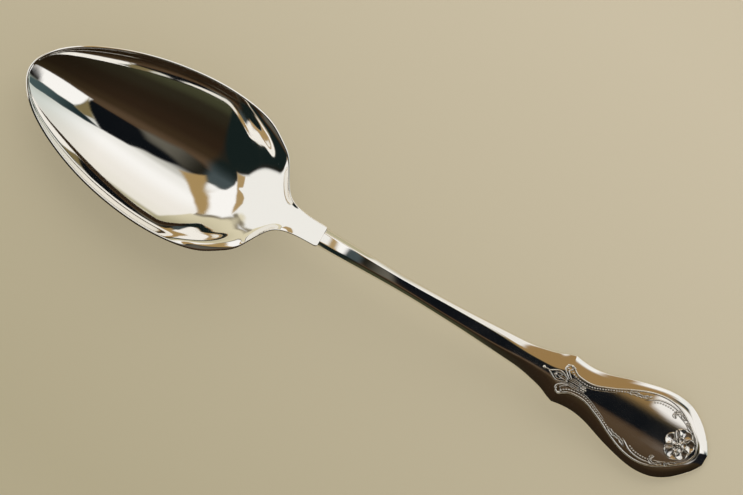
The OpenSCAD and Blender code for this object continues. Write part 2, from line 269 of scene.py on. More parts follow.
def buildBowl():
    step = spoon["step"]
    body = math.sqrt((step - bowl["earRound"]) / bowl["length"]) * np.linspace(0, 1, bowl["stations"])
    bodyPlaces = body ** 2 * bowl["length"]
    earPlaces = step - bowl["earRound"] * (1 - np.sin(np.linspace(0, math.pi / 2, 13)[1:]))
    p = np.concatenate([bodyPlaces, earPlaces])
    half = bowlHalf(p)
    # the rim's inner edge lies inward of the outline, square to it
    fine = np.linspace(0, math.sqrt(step / bowl["length"]), 2400)
    fineP = fine ** 2 * bowl["length"]
    fineHalf = bowlHalf(np.minimum(fineP, step - bowl["earRound"]))
    alongP = np.gradient(fineP)
    alongY = np.gradient(fineHalf)
    size = np.hypot(alongP, alongY)
    inset = mix(bowl["rimWidth"], bowl["neckRimWidth"], neckShare(fineP))
    innerP = fineP + inset * alongY / size
    innerY = np.maximum(fineHalf - inset * alongP / size, 0)
    tipInset = innerP[0]
    innerRoot = np.sqrt(np.maximum(innerP - tipInset, 0))

    def innerHalf(place):
        return np.interp(np.sqrt(np.maximum(place - tipInset, 0)), innerRoot, innerY)

    def hollowHeight(place, y):
        lower = mix(bowl["rimDrop"], 0, neckShare(place))
        counted = np.maximum(place - tipInset * ease(1 - place / bowl["tipOver"]), 0)
        deep = np.maximum(bowlDepth(counted), 0)
        t = np.clip(y / np.maximum(innerHalf(place), 1e-4), 0, 1)
        section = deep * (1 - hollowShare(t))
        closed = levelDepth(place, y, innerHalf(bowl["closeStart"])) * (1 - t ** rimPower(place))
        closing = ease((place - bowl["closeStart"]) / bowl["closeOver"])
        return sideLine(place) - lower - mix(section, closed, closing)

    def backHeight(place, y):
        deep = np.maximum(bowlDepth(place), 0)
        low = sideLine(place) - deep - bowlWall(place)
        flat = bowl["tongueFrontHalf"] * ease((place - bowl["lapStart"]) / bowl["lapEase"] + 1)
        edgeHalf = np.maximum(bowlHalf(np.minimum(place, step)), 1e-3)
        out = np.where(flat >= edgeHalf, 0, np.maximum(0, y - flat) / np.maximum(edgeHalf - flat, 1e-3))
        plain = mix(low, sideLine(place) - bowl["rimEdge"], arcShare(out))
        # never closer to the hollow than the sheet is thick
        over = hollowHeight(place, y) - bowl["leastSheet"] * (1 - np.clip(y / edgeHalf, 0, 1) ** 8)
        before = ease((bowl["lapStart"] - place) / bowl["seatEase"])
        return np.maximum(0, mix(plain, np.minimum(plain, over), before))

    # rows run from a spine on the axis to the outline, and fan out round the tip
    spineStart = bowl["spineFrom"] + bowl["spineOver"] * np.sqrt(p / bowl["length"])
    spine = np.minimum((spineStart + p + np.sqrt((spineStart - p) ** 2 + 9)) / 2, step)
    rowRoot = np.sqrt(p / bowl["length"])
    inP = np.interp(rowRoot, fine, innerP)
    inY = np.interp(rowRoot, fine, innerY)
    lastRows = p > step - bowl["earRound"]
    inP[lastRows] = p[lastRows]
    inY[lastRows] = half[lastRows] - bowl["neckRimWidth"]
    spine[-1] = step
    t = np.linspace(0, 1, bowl["across"] + 1)[:, None]
    topP = mix(spine, inP, t)
    topY = inY * t
    top = np.stack([topP, topY, hollowHeight(topP, topY)], -1)
    # slope of the hollow where it meets the rim, then the rolled rim
    outward = np.stack([p - inP, half - inY], -1)
    reach = np.linalg.norm(outward, axis=-1)
    outward = outward / reach[:, None]
    probe = 0.08
    nearer = top[-1, :, :2] - outward * probe
    rise = (top[-1, :, 2] - hollowHeight(nearer[:, 0], nearer[:, 1])) / probe
    lean = np.stack([outward[:, 0], outward[:, 1], np.clip(rise, 0, 1.6)], -1)
    lean = unit(lean) * (reach * 0.5)[:, None]
    edge = np.stack([p, half, sideLine(p) - bowl["rimEdge"]], -1)
    roll = rollOver(top[-1], lean, edge, np.array([0, 0, -0.3]), bowl["rollSteps"])
    s = np.linspace(1, 0, bowl["across"] + 1)[1:, None]
    backP = mix(spine, p, s)
    backY = half * s
    back = np.stack([backP, backY, backHeight(backP, backY)], -1)
    side = np.concatenate([top, roll, back]).transpose(1, 0, 2)
    return makeMirrored("bowl_and_neck", side, closeFirst=False)


bowlPiece = buildBowl()
print("bowl built", len(bowlPiece.data.polygons), "faces")

handle = {
    "stemThick": 3.6,
    "panelRadius": 90.0,  # of the crown across the panel
    "browSoft": 0.012,  # how softly the panel turns into the border
    "edgeRound": 0.5,
    "footRound": 0.45,
    "stemRows": 190,
    "endRows": 250,
    "panelColumns": 22,
    "borderColumns": 22,
    "rollSteps": 5,
    "backColumns": 10,
    "tongueRows": 16,
    "solder": 0.12,  # the film between the neck and the tongue
    "heel": 0.6,  # height of the tongue at its front
}

# The handle's half widths and its section, by the place along the spoon
stemHalf = curveThrough([(103.92, 3.2), (116.1, 2.985), (131, 2.7), (138.9, 2.757), (146.8, 2.985),
                         (154.7, 3.27), (161.7, 3.669), (169.6, 4.125), (177.4, 4.809), (181.8, 5.721),
                         (185.1, 6.633), (187.9, 7.83), (189.7, 8.4)])
endHalf = curveThrough([(189.7, 8.4), (192.7, 7.95), (195.7, 7.8), (202, 8.77), (208.1, 10.77),
                        (212.7, 12.08), (217.9, 13.26), (222.1, 13.7), (224.9, 13.55), (228.1, 12.88),
                        (231.2, 11.4), (234.3, 9.1), (236, 7.55), (237.5, 5.95), (238.8, 4.05), (239.5, 2.8),
                        (240, 1.75)])
borderWidth = curveThrough([(103.9, 1.6), (131, 1.4), (150, 1.4), (162, 1.8), (172, 2.6), (181, 3.9),
                            (189.7, 5.3), (196, 5.1), (203, 4.5), (209, 3.6), (215, 3.0), (222, 2.75),
                            (240, 2.7)])
roundness = curveThrough([(103.9, 0.06), (160, 0.1), (180, 0.35), (192, 0.7), (205, 0.85), (240, 0.9)])
thickness = curveThrough([(103.9, 3.6), (140, 3.65), (165, 3.4), (185, 2.75), (196, 2.5), (210, 2.5),
                          (240, 2.5)])
sideHeight = curveThrough([(103.9, 2.25), (140, 2.46), (155, 2.25), (166, 1.85), (178, 1.25), (189.7, 0.75),
                           (200, 0.7), (240, 0.7)])
crown = curveThrough([(103.9, 0), (150, 0), (172, 0.3), (192, 1), (215, 1), (240, 1)])
tongueTaper = curveThrough([(0, 0.3), (0.06, 0.56), (0.2, 0.74), (0.5, 0.84), (1, 0.88)])


def handleHalf(p):
    return np.where(p <= spoon["corner"], stemHalf(p), endHalf(p))


edgeP = np.concatenate([np.linspace(spoon["stemStart"], spoon["corner"], 500),
                        np.linspace(spoon["corner"], spoon["length"], 700)[1:]])
edgeY = handleHalf(edgeP)
edgeP = np.append(edgeP, spoon["length"])  # the blunt tip
edgeY = np.append(edgeY, 0)


# Shortest way from points of the plan to the handle's outline
def edgeDistance(p, y):
    flatP = np.ravel(p)
    flatY = np.abs(np.ravel(y))
    startP, startY = edgeP[:-1], edgeY[:-1]
    runP, runY = np.diff(edgeP), np.diff(edgeY)
    runSquare = runP ** 2 + runY ** 2
    nearest = np.empty(len(flatP))
    for first in range(0, len(flatP), 2000):
        pick = slice(first, first + 2000)
        dp = flatP[pick, None] - startP
        dy = flatY[pick, None] - startY
        share = np.clip((dp * runP + dy * runY) / runSquare, 0, 1)
        nearest[pick] = np.sqrt(((dp - share * runP) ** 2 + (dy - share * runY) ** 2).min(1))
    return nearest.reshape(np.shape(p))


def handleBack(p):
    return np.maximum(0, sideLine(p) - thickness(p))


# Height of the handle's polished top: a crowned panel and a border that falls to the edge
def handleTop(p, y):
    width = borderWidth(p)
    inward = 1 - edgeDistance(p, y) / width
    soft = inward + np.sqrt(inward ** 2 + handle["browSoft"])
    straight = np.clip(soft / (1 + math.sqrt(1 + handle["browSoft"])), 0, 1)
    rolled = 1 - np.sqrt(np.maximum(0, 1 - straight ** 2))
    fall = mix(straight, rolled, roundness(p))
    panel = sideLine(p) - crown(p) * y ** 2 / (2 * handle["panelRadius"])
    return mix(panel, handleBack(p) + sideHeight(p), fall)


# Half of one ring, from the middle of the top round the edge to the middle of the back
def handleSide(p, half, heightOf, edgeZ, backZ):
    rounding = np.minimum(handle["edgeRound"], 0.3 * half)
    border = np.minimum(borderWidth(p) * 1.05, 0.85 * half)
    inner = half - border
    panelShares = np.linspace(0, 1, handle["panelColumns"] + 1)[:, None]
    borderShares = np.sin(np.linspace(0, math.pi / 2, handle["borderColumns"] + 1)[1:, None])
    y = np.concatenate([inner * panelShares, inner + (border - rounding) * borderShares])
    places = np.broadcast_to(p, y.shape)
    top = np.stack([places, y, heightOf(places, y)], -1)
    probe = 0.06
    slope = (top[-1, :, 2] - heightOf(p, top[-1, :, 1] - probe)) / probe
    leave = np.stack([0 * p, 1 + 0 * p, np.clip(slope, -4, 0)], -1)
    leave = unit(leave) * (rounding * 0.5)[:, None]
    brow = np.stack([p, half, np.minimum(edgeZ - rounding, top[-1, :, 2])], -1)
    roll = rollOver(top[-1], leave, brow, np.array([0, 0, -0.1]), handle["rollSteps"])
    corner = np.minimum(handle["footRound"], 0.4 * half)
    tall = np.maximum(brow[:, 2] - backZ, 0.01)
    foot = np.stack([p, half - corner, backZ], -1)
    drop = tall[:, None] * (0, 0, -0.6)
    under = corner[:, None] * (0, -0.6, 0)
    lower = rollOver(brow, drop, foot, under, handle["rollSteps"])
    shares = np.linspace(1, 0, handle["backColumns"] + 1)[1:, None]
    backY = (half - corner) * shares
    base = np.stack(np.broadcast_arrays(p, backY, backZ), -1)
    return np.concatenate([top, roll, lower, base]).transpose(1, 0, 2)


def buildHandle():
    step = spoon["step"]
    # the tongue laps under the neck, one solder film below it
    lap = np.linspace(bowl["lapStart"], step, handle["tongueRows"])
    lapShare = (lap - lap[0]) / (lap[-1] - lap[0])
    tongueHalf = bowl["tongueFrontHalf"] * tongueTaper(lapShare)
    seat = sideLine(lap) - np.maximum(bowlDepth(lap), 0) - bowl["neckThick"] - handle["solder"]
    seat[-1] = sideLine(step) - bowl["neckThick"] - handle["solder"]
    tall = mix(handle["heel"], handle["stemThick"] - bowl["neckThick"] - handle["solder"], ease(lapShare))
    tongue = handleSide(lap, tongueHalf, lambda p, y: seat + 0 * y, seat, seat - tall)
    stem = np.linspace(spoon["stemStart"], spoon["corner"], handle["stemRows"])
    t = np.linspace(0, 1, handle["endRows"])[1:]
    end = spoon["corner"] + (spoon["length"] - spoon["corner"]) * (1 - (1 - t) ** 1.5)
    p = np.concatenate([stem, end])
    rest = handleSide(p, handleHalf(p), handleTop, handleBack(p) + sideHeight(p), handleBack(p))
    return makeMirrored("handle_body", np.concatenate([tongue, rest]), closeFirst=True)


handlePiece = buildHandle()
print("handle built", len(handlePiece.data.polygons), "faces")

# The struck relief: threads, beads, leaves, the crest at the corners and the flower near the end
relief = {
    "threadRadius": 0.3,
    "fineRadius": 0.17,
    "beadRadius": 0.28,
    "beadGap": 0.84,
    "hairlineRadius": 0.09,
    "hairlineInset": 0.62,
    "strandStep": 0.22,
    "strandSides": 10,
    "leafHeight": 0.45,
    "sink": 0.3,  # how far each shape reaches down into the panel
}

outerThread = [(190.6, 4.6), (191.6, 3.8), (192.8, 3.1), (194.9, 2.7), (198.9, 2.9), (202, 4), (205.1, 5.3),
               (208.1, 6.8), (212.7, 8.9), (215.8, 10), (218.9, 10.6), (222, 10.65), (226.6, 9.45),
               (229.6, 7.75), (232.7, 5.5), (235.4, 2.6), (236.3, 0)]
innerThread = [(214.4, 6.7), (215.8, 7.6), (217.5, 8.65), (220.4, 9.45), (223.5, 9.45), (226, 8.8),
               (227.6, 8.2)]
longBeads = [(190.6, 3.6), (191.6, 2.7), (193.4, 2.05), (195, 1.8), (197.4, 1.78), (200.4, 2.6),
             (203.5, 3.95), (206.6, 5.3), (209.4, 6.5)]
shortBeads = [(217.6, 7.75), (219, 8.35), (220.6, 8.6), (223.4, 8.6), (225.2, 8.1)]

reliefPoints = []
reliefFaces = []


def addShape(points, faces):
    base = len(reliefPoints)
    reliefPoints.extend(np.reshape(points, (-1, 3)).tolist())
    reliefFaces.extend([base + corner for corner in face] for face in faces)


# Evenly spaced points on a smooth curve through places of the plan
def pathPoints(table, gap):
    places = np.array(table, float)
    spread = np.concatenate([[0], np.cumsum(np.hypot(*np.diff(places, axis=0).T))])
    byP = curveThrough(list(zip(spread, places[:, 0])))
    byY = curveThrough(list(zip(spread, places[:, 1])))
    count = max(2, int(round(spread[-1] / gap)) + 1)
    s = np.linspace(0, spread[-1], count)
    return np.stack([byP(s), byY(s)], -1)


# A rounded ridge along a path, thinning at its ends
def addStrand(table, radius, mirror=True, taper=0.12, lift=0.0):
    line = pathPoints(table, relief["strandStep"])
    for sign in ((1, -1) if mirror else (1,)):
        path = line * (1, sign)
        run = unit(np.gradient(path, axis=0))
        share = np.linspace(0, 1, len(path))
        size = radius + 0 * share
        if taper:
            size = radius * (0.25 + 0.75 * ease(np.minimum(share, 1 - share) / taper))
        angles = np.linspace(0, 2 * math.pi, relief["strandSides"] + 1)[:-1]
        across = np.stack([-run[:, 1], run[:, 0]], -1)
        plan = path[:, None] + across[:, None] * (size[:, None] * np.cos(angles))[..., None]
        height = handleTop(plan[..., 0], plan[..., 1]) + size[:, None] * (np.sin(angles) * 0.9 + 0.1) + lift
        rings = np.concatenate([plan, height[..., None]], -1)
        addShape(rings, ringFaces(rings, True, True))


# A bead, round or a little flattened, half sunk in the panel
def addBall(p, y, radius, flat=0.75, lift=0.05):
    rows, columns = 8, 12
    phi = np.linspace(0, math.pi, rows + 1)
    theta = np.linspace(0, 2 * math.pi, columns + 1)[:-1]
    x = p + radius * np.sin(phi)[:, None] * np.cos(theta)
    w = y + radius * np.sin(phi)[:, None] * np.sin(theta)
    base = float(handleTop(np.array([p]), np.array([y]))[0])
    z = base + lift + radius * flat * np.cos(phi)[:, None] + 0 * theta
    rings = np.stack([x, w, z], -1)
    points = [rings[0, 0]] + rings[1:-1].reshape(-1, 3).tolist() + [rings[-1, 0]]
    faces = [[0, 1 + (j + 1) % columns, 1 + j] for j in range(columns)]
    for i in range(rows - 2):
        for j in range(columns):
            a = 1 + i * columns + j
            b = 1 + i * columns + (j + 1) % columns
            faces.append([a, b, b + columns, a + columns])
    last = len(points) - 1
    faces += [[last, last - columns + j, last - columns + (j + 1) % columns] for j in range(columns)]
    addShape(np.array(points), faces)


# A leaf or petal: a pillow with a vein, a raised rim and a lobed edge
def addLeaf(start, end, width, bow=0.0, high=relief["leafHeight"], rim=0.5, vein=0.6, lobes=0, deep=0.0,
            blunt=1.0, cup=0.0, lift=0.0, ribs=0, ribHigh=0.0):
    rows, columns = 36, 36 if ribs else 20
    s = np.linspace(0, 1, rows + 1)
    t = np.linspace(-1, 1, columns + 1)
    start, end = np.array(start, float), np.array(end, float)
    run = end - start
    across = np.array([-run[1], run[0]]) / np.hypot(*run)
    spine = start + run * s[:, None] + across * (bow * np.sin(math.pi * s))[:, None]
    grow = np.sin(math.pi * np.clip(s, 0, 1) ** blunt) ** 0.75
    scallop = 1 - deep * np.abs(np.sin(math.pi * lobes * s)) ** 0.7 if lobes else 1
    size = width * (grow + 0.02) * scallop
    plan = spine[:, None] + across * (size[:, None] * t)[..., None]
    shade = np.minimum(1, grow * 1.6)[:, None]
    pillow = np.maximum(0, 1 - t ** 4)
    groove = vein * np.exp(-(t / 0.16) ** 2) * np.sin(math.pi * s)[:, None] ** 0.5
    ridge = rim * np.exp(-((np.abs(t) - 0.78) / 0.16) ** 2)
    dish = cup * (1 - t ** 2) * np.sin(math.pi * s)[:, None]
    ripple = ribHigh * np.cos(math.pi * ribs * t) * np.sin(math.pi * s)[:, None] ** 0.5
    rise = high * shade * (pillow * (1 - groove - dish + ripple) + ridge)
    ground = handleTop(plan[..., 0], plan[..., 1]) + lift
    edge = (np.abs(t) == 1)[None, :] | ((s == 0) | (s == 1))[:, None]
    upper = np.concatenate([plan, (ground + np.where(edge, -0.1, rise))[..., None]], -1)
    lower = np.concatenate([plan, (ground - relief["sink"] - lift)[..., None]], -1)
    points = np.concatenate([upper.reshape(-1, 3), lower.reshape(-1, 3)])
    wide = columns + 1
    below = (rows + 1) * wide
    faces = []
    for i in range(rows):
        for j in range(columns):
            a = i * wide + j
            faces.append([a, a + wide, a + wide + 1, a + 1])
            faces.append([below + a, below + a + 1, below + a + wide + 1, below + a + wide])
    loop = list(range(columns)) + [i * wide + columns for i in range(rows)]
    loop += [rows * wide + j for j in range(columns, 0, -1)] + [i * wide for i in range(rows, 0, -1)]
    for a, b in zip(loop, loop[1:] + loop[:1]):
        faces.append([a, b, below + b, below + a])
    addShape(points, faces)


# A way across the plan, in degrees from the handle's end
def wayOf(degrees):
    angle = math.radians(degrees)
    return np.array([math.cos(angle), math.sin(angle)])


def buildRelief():
    addStrand(outerThread, relief["threadRadius"], taper=0)
    addStrand(innerThread, relief["threadRadius"] * 0.85, taper=0.1)
    for table in (longBeads, shortBeads):
        for p, y in pathPoints(table, relief["beadGap"]):
            for sign in (1, -1):
                addBall(p, y * sign, relief["beadRadius"], flat=0.95, lift=0.12)
    # fine lines beside the beads, toward the middle of the panel
    inset = relief["hairlineInset"]
    addStrand([(p, y - inset) for p, y in longBeads[1:-1]], relief["hairlineRadius"], taper=0.2)
    addCrest()
    addSideLeaves()
    addFlower()
    return makePiece("handle_relief", reliefPoints, reliefFaces, sharpAngle=50)


def addCrest():
    fine = relief["fineRadius"]
    addBall(182.6, 0.1, 0.5, flat=0.9, lift=0.12)
    addStrand([(182.9, 0), (183.9, 0.15), (184.8, 0)], fine, mirror=False, taper=0)
    # the pointed open leaf: a raised outline round a hollow with two small lobes
    addStrand([(184.4, 0), (185.7, 0.75), (187.1, 1.45), (188.6, 1.45), (190.2, 0.65), (191, 0.2)],
              0.25, taper=0.05)
    addStrand([(186.2, 0.1), (187.2, 0.75), (188.3, 0.85), (188.8, 0.3)], fine)
    addBall(186.9, 0, 0.36, lift=0.15)
    addLeaf((187.4, 0), (190.9, 0), 0.5, vein=0.7, cup=0.3)
    # curled leaves on either side of it, each ending in a few balls
    addStrand([(191.2, 0.7), (189.5, 1.9), (188.6, 3.1), (189, 4.2), (190, 4.6), (190.5, 4), (190.1, 3.3)],
              0.3, taper=0.25)
    addStrand([(191.9, 0.9), (190.5, 2), (189.9, 3), (190.6, 3.5)], 0.24, taper=0.3)
    for p, y, size in ((190.2, 4.55, 0.46), (188.9, 4.35, 0.34), (191.1, 4.35, 0.34), (189.4, 3.3, 0.3),
                       (190.2, -4.55, 0.5), (188.9, -3.6, 0.3)):
        addBall(p, y, size, flat=0.85, lift=0.15)
    # a fan of fine lines that closes on a rosette
    for start, middle, end in ((0.25, 0.35, 0.22), (0.6, 0.85, 0.5), (1.0, 1.3, 0.85)):
        addStrand([(191, start), (193.4, middle), (195.7, end)], 0.13, taper=0.25)
    rosette = np.array([196.4, 0])
    addBall(*rosette, 0.42, flat=0.9, lift=0.2)
    for direction in range(0, 360, 60):
        addBall(*(rosette + wayOf(direction) * 0.72), 0.33, flat=0.85, lift=0.1)


# Each leaf: start, end, half width, bow, number of lobes and how deep they cut
sideLeaves = [
    ((208.4, 6.2), (212.2, 7.9), 0.8, -0.25, 3, 0.35),
    ((210.4, 6.5), (214.4, 7.3), 0.7, 0.3, 3, 0.35),
    ((212.6, 7.2), (216, 8.9), 0.65, -0.2, 2, 0.3),
    # a sprig on either side of the flower
    ((224.6, 8.3), (226.4, 8.9), 0.6, 0.2, 0, 0),
    ((226.4, 8.9), (228.9, 7.7), 0.7, -0.2, 2, 0.3),
    ((224.6, 8.3), (225.6, 6.6), 0.7, -0.3, 0, 0),
    ((229.2, 6.7), (230.6, 7.3), 0.65, 0.25, 2, 0.3),
    ((229.2, 6.7), (232.6, 5), 0.6, 0.2, 2, 0.3),
]
sprigStalk = [(224.6, 8.3), (229.2, 6.7), (233.8, 3.6)]


def addSideLeaves():
    addStrand(sprigStalk, 0.16, taper=0.2, lift=0.1)
    for start, end, halfWidth, bow, lobes, deep in sideLeaves:
        for sign in (1, -1):
            addLeaf(np.multiply(start, (1, sign)), np.multiply(end, (1, sign)), halfWidth,
                    bow=bow * sign, lobes=lobes, deep=deep)


flower = {
    "middle": (230.4, 0.2),
    # each petal: direction in degrees from the handle's end, reach, half width
    "petals": [(84, 5.3, 3.1), (20, 5.0, 2.6), (-44, 4.8, 2.6), (-104, 5.2, 3.1), (172, 4.8, 2.4)],
    "innerReach": 2.6,
    "innerHalfWidth": 1.1,
    "leaves": (52, -12, -74, 214, 128),  # directions of the narrow leaves between the petals
    "leafReach": 4.6,
    "leafHalfWidth": 0.7,
    "seeds": 7,
    "seedRing": 0.8,
}


def addFlower():
    middle = np.array(flower["middle"])
    for direction, reach, halfWidth in flower["petals"]:
        ahead = wayOf(direction)
        # ruffled petals with a turned-up rim and fine ribs
        addLeaf(middle + ahead * 0.5, middle + ahead * reach, halfWidth, lobes=3, deep=0.16, rim=0.9,
                vein=0.45, cup=0.45, blunt=2.1, high=0.45, lift=0.02, ribs=4, ribHigh=0.16)
        addLeaf(middle + ahead * 0.3, middle + ahead * flower["innerReach"], flower["innerHalfWidth"],
                rim=0.7, vein=0.4, cup=0.4, blunt=1.3, high=0.4, lift=0.32, ribs=3, ribHigh=0.14)
    for direction in flower["leaves"]:
        ahead = wayOf(direction)
        addLeaf(middle + ahead * 1.4, middle + ahead * flower["leafReach"], flower["leafHalfWidth"],
                rim=0.4, vein=0.7, high=0.35)
    addBall(*middle, 0.7, flat=0.7, lift=0.5)
    for number in range(flower["seeds"]):
        seed = middle + wayOf(number * 360 / flower["seeds"]) * flower["seedRing"]
        addBall(*seed, 0.25, flat=0.9, lift=0.6)


reliefPiece = buildRelief()
print("relief built", len(reliefPiece.data.polygons), "faces")


# Materials
def linearColour(text):
    parts = [int(text[i:i + 2], 16) / 255 for i in (1, 3, 5)]
    return [c / 12.92 if c <= 0.04045 else ((c + 0.055) / 1.055) ** 2.4 for c in parts] + [1]


# One node with its settings, and its inputs set or linked by name, or by number as i0, i1 and so on
def addNode(tree, kind, settings=None, **inputs):
    node = tree.nodes.new("ShaderNode" + kind)
    for key, value in (settings or {}).items():
        setattr(node, key, value)
    for key, value in inputs.items():
        numbered = key[0] == "i" and key[1:].isdigit()
        socket = node.inputs[int(key[1:]) if numbered else key.replace("_", " ")]
        if isinstance(value, bpy.types.NodeSocket):
            tree.links.new(value, socket)
        else:
            socket.default_value = value
    return node


# Two colours laid over each other, each a hex value or a socket
def mixColours(tree, blend, share, one, two):
    node = addNode(tree, "Mix", {"data_type": "RGBA", "blend_type": blend}, Factor=share)
    for socket, value in zip([s for s in node.inputs if s.type == "RGBA"], (one, two)):
        if isinstance(value, str):
            socket.default_value = linearColour(value)
        else:
            tree.links.new(value, socket)
    return [s for s in node.outputs if s.type == "RGBA"][0]


def newMaterial(name):
    material = bpy.data.materials.new(name)
    material.use_nodes = True
    material.node_tree.nodes.clear()
    return material, material.node_tree


silver = {
    "colour": "#F7F4EE",
    "smearSize": 18.0,  # size of the faint wiping marks
    "smearRange": (0.35, 0.65),
    "scratchGap": 0.5,  # spacing of the hairlines, drawn coarser than the real ones so that they show
    "scratchTurn": 24.0,
    "scratchStretch": 0.08,
    "scratchDepth": 0.02,
    "tarnishAndShadeReach": 0.6,  # hollows up to this wide are darkened, partly as tarnish and partly as painted shade
    "tarnishAndShadeRange": (0.25, 0.8),
}
# Each finish: lowest and highest roughness, strength of the hairlines, colour of the tarnish and painted
# shade in the hollows
finishes = {
    "silverPlateBuffedBowl": (0.02, 0.05, 0.05, None),
    "silverPlateBuffedHandle": (0.03, 0.07, 0.08, "#7A7468"),
    # the relief can't be buffed in its corners, so it gleams more softly
    "silverPlateStruckRelief": (0.13, 0.22, 0.08, "#8A8478"),
    # silver solder, dressed with a file: a soft gleam with plain hairlines
    "silverSolderDressed": (0.12, 0.25, 0.2, "#8A8375"),
}


# Silver plate, buffed to a mirror: it shows its surroundings sharply, with faint smears and hairlines.
# Fine hollows are darkened, partly by dark tarnish and partly by painted shade where occlusion is strong.
def silverPlate(name, roughLow, roughHigh, hairline, tarnishAndShade):
    material, tree = newMaterial(name)
    place = addNode(tree, "TexCoord").outputs["Object"]
    smear = addNode(tree, "TexNoise", Vector=place, Scale=1000 / silver["smearSize"], Detail=4.0)
    rough = addNode(tree, "MapRange", Value=smear.outputs["Fac"], i1=silver["smearRange"][0],
                    i2=silver["smearRange"][1], i3=roughLow, i4=roughHigh)
    stretched = addNode(tree, "Mapping", Vector=place, Scale=(silver["scratchStretch"], 1, 1),
                        Rotation=(0, 0, math.radians(silver["scratchTurn"])))
    hair = addNode(tree, "TexNoise", Vector=stretched.outputs[0], Scale=1000 / silver["scratchGap"],
                   Detail=2.0)
    bump = addNode(tree, "Bump", Height=hair.outputs["Fac"], Strength=hairline,
                   Distance=silver["scratchDepth"] / 1000)
    colour = linearColour(silver["colour"])
    if tarnishAndShade:
        # painted shade with tarnish: ambient occlusion darkens the colour in fine hollows, where shade falls
        hollow = addNode(tree, "AmbientOcclusion", {"samples": 8}, Distance=silver["tarnishAndShadeReach"] / 1000)
        shade = addNode(tree, "MapRange", Value=hollow.outputs["AO"], i1=silver["tarnishAndShadeRange"][0],
                        i2=silver["tarnishAndShadeRange"][1])
        colour = mixColours(tree, "MIX", shade.outputs[0], tarnishAndShade, silver["colour"])
    shader = addNode(tree, "BsdfPrincipled", Base_Color=colour, Metallic=1.0, Roughness=rough.outputs[0],
                     Normal=bump.outputs[0])
    addNode(tree, "OutputMaterial", Surface=shader.outputs[0])
    return material


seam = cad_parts["solder_seam"]
seam.data.materials.clear()
for piece, name in ((bowlPiece, "silverPlateBuffedBowl"), (handlePiece, "silverPlateBuffedHandle"),
                    (reliefPiece, "silverPlateStruckRelief"), (seam, "silverSolderDressed")):
    piece.data.materials.append(silverPlate(name, *finishes[name]))

for piece, node, slot in ((bowlPiece, "bowl", "bowl_silver"), (handlePiece, "handle", "handle_silver")):
    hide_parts(node)
    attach(piece, "root")
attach(reliefPiece, "root")
print("pieces ride on the frame")

# Floor: plain pale card, uncoated and pressed flat, so it is matt. Its colour carries a painted pool of
# light, and half of it is a painted glow.
floorLook = {
    "bright": "#D0C5AC",
    "paintedShadeColour": "#B9AF92",
    "fadeWay": (0.25, 0.97),  # the painted light grows this way
    "fadeHalf": 0.11,
    "ownLight": 0.5,  # share of painted even light: the floor glows with its own colour, which keeps the shadow as faint as the pale room makes it
    "halfSize": 3.0,
    "below": 0.00005,  # just under the spoon
}
floorMesh = bpy.data.meshes.new("floor")
reach = floorLook["halfSize"]
floorMesh.from_pydata([(-reach, -reach, 0), (reach, -reach, 0), (reach, reach, 0), (-reach, reach, 0)], [],
                      [(0, 1, 2, 3)])
floor = addObject("floor", floorMesh)
floor.location.z = -floorLook["below"]
floorMaterial, tree = newMaterial("paleCard")
place = addNode(tree, "TexCoord").outputs["Object"]
along = addNode(tree, "VectorMath", {"operation": "DOT_PRODUCT"}, i0=place, i1=(*floorLook["fadeWay"], 0))
share = addNode(tree, "MapRange", Value=along.outputs["Value"], i1=-floorLook["fadeHalf"],
                i2=floorLook["fadeHalf"])
# painted light: the floor colour runs from painted shade toward -Y to a painted pool of light toward +Y
paintedLightRamp = addNode(tree, "ValToRGB", Fac=share.outputs[0])
paintedLightRamp.color_ramp.elements[0].color = linearColour(floorLook["paintedShadeColour"])
paintedLightRamp.color_ramp.elements[1].color = linearColour(floorLook["bright"])
shader = addNode(tree, "BsdfDiffuse", Color=paintedLightRamp.outputs[0])
# painted even light: this part of the floor glows, though it is no lamp
glow = addNode(tree, "Emission", Color=paintedLightRamp.outputs[0], Strength=1.0)
both = addNode(tree, "MixShader", i0=floorLook["ownLight"], i1=shader.outputs[0], i2=glow.outputs[0])
addNode(tree, "OutputMaterial", Surface=both.outputs[0])
floorMesh.materials.append(floorMaterial)

